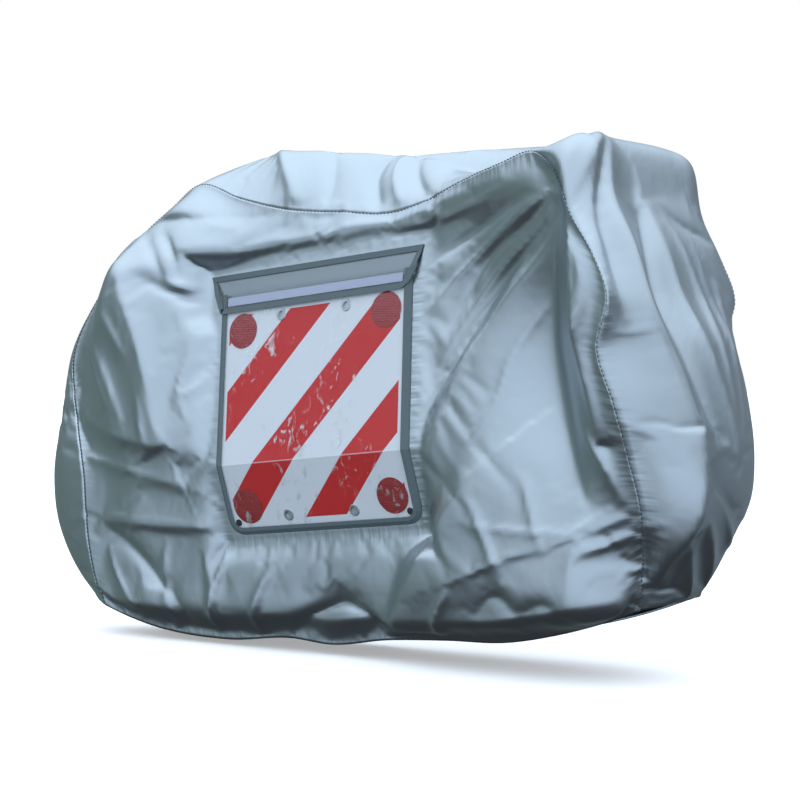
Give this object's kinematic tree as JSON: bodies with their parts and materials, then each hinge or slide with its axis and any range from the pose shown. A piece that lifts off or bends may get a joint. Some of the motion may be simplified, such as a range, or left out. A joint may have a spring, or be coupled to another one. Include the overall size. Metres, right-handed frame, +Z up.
{
  "type": "bicycle cover",
  "caption": "Fitted silver cloth cover for a bicycle, hollow and open below, with a clear side pocket that holds a square red-and-white striped warning plate bent near its lower edge.",
  "frame": {"origin": "just under the cover's top over the saddle, where the bicycle inside carries it, about 1.10 m above the hem's lowest point", "axes": "+X towards the front wheel, +Y from the pocket's side to the far side, +Z up"},
  "size_m": [1.7807, 0.6018, 1.1155],
  "materials": {
    "silver_taffeta": "silver coated polyester taffeta, softly metallic",
    "clear_film": "clear PVC film, glossy",
    "grey_tape": "grey grosgrain binding tape",
    "hook_tape": "pale hook tape",
    "white_plate": "white sheet with printed red diagonal stripes",
    "red_acrylic": "red reflector with small prisms",
    "plated_steel": "plated, bright",
    "black_plastic": "moulded, satin"
  },
  "bodies": {
    "root": {"near_side_panel": "silver_taffeta", "far_side_panel": "silver_taffeta", "gusset_strip": "silver_taffeta", "pocket_window": "clear_film", "pocket_flap": "clear_film", "pocket_binding": "grey_tape", "flap_binding": "grey_tape", "fastening_strip": "hook_tape", "warning_plate": "white_plate", "reflector_1": "red_acrylic", "reflector_2": "red_acrylic", "reflector_3": "red_acrylic", "reflector_4": "red_acrylic", "eyelet_1": "plated_steel", "eyelet_2": "plated_steel", "eyelet_3": "plated_steel", "eyelet_4": "plated_steel", "corner_stud_1": "black_plastic", "corner_stud_2": "black_plastic"}
  },
  "joints": []
}
